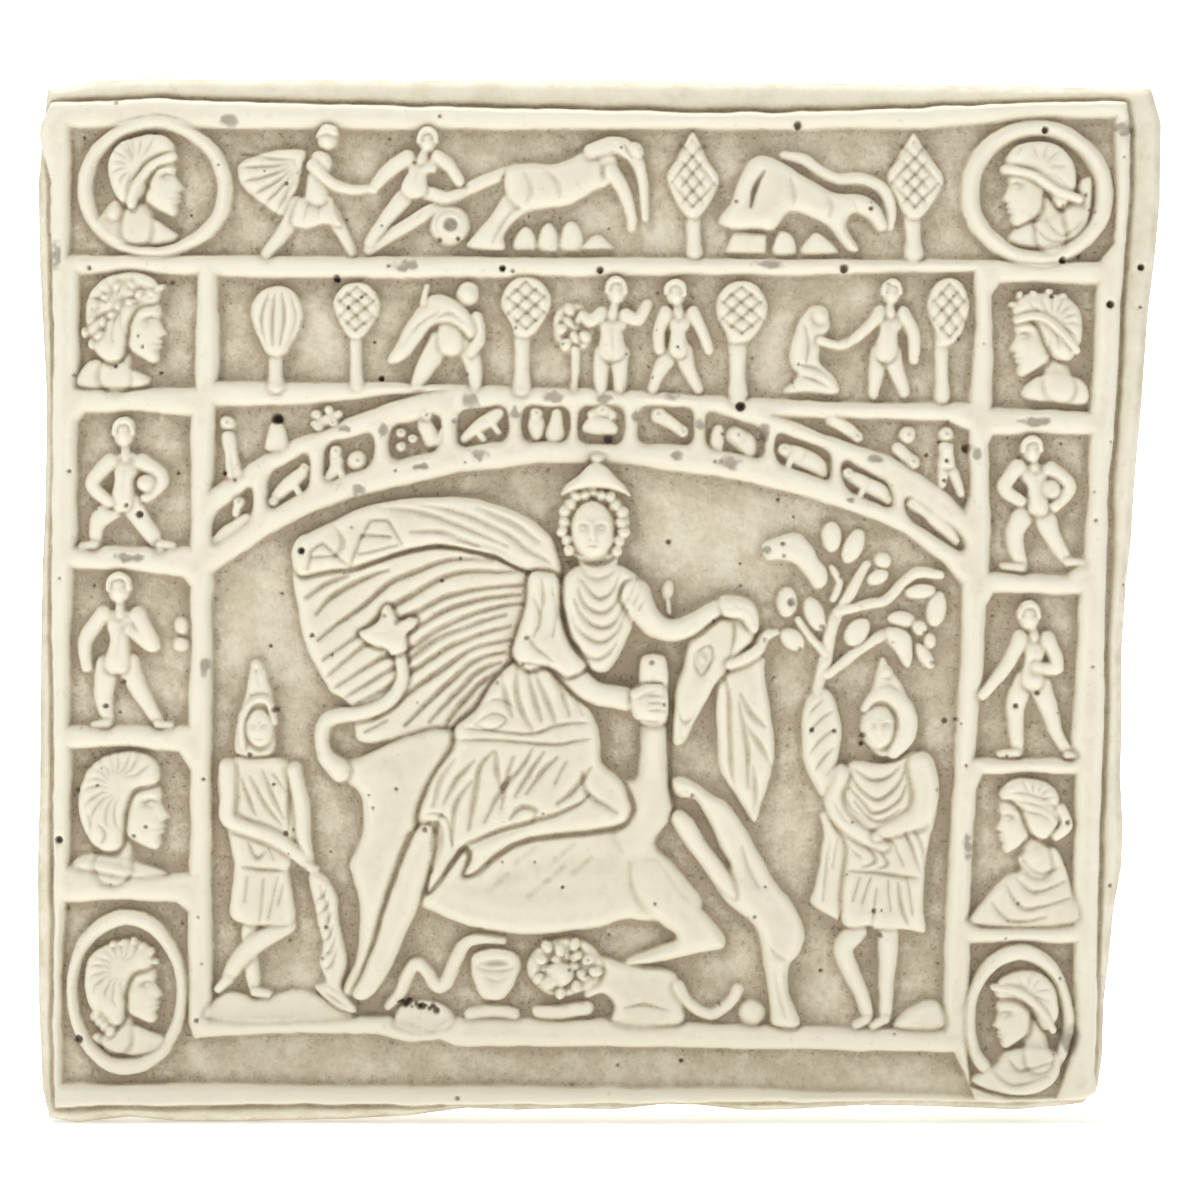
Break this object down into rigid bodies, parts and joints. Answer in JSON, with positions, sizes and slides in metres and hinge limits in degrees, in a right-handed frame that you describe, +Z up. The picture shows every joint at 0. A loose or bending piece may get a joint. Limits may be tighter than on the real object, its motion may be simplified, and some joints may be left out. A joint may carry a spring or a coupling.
{
  "type": "plaster wall relief",
  "caption": "Square plaster wall relief: a cloaked rider on a bull under an arch, framed by small panels of figures, heads and trees.",
  "frame": {"origin": "on the flat back face, behind the middle of the front", "axes": "+X to the viewer's right, +Z up, the relief faces -Y and the back faces +Y, towards the wall"},
  "size_m": [0.2028, 0.0211, 0.1881],
  "materials": {
    "aged_plaster": "matt cream plaster with a grey-brown wash in the hollows"
  },
  "bodies": {
    "root": {"plaster_relief": "aged_plaster"}
  },
  "joints": []
}
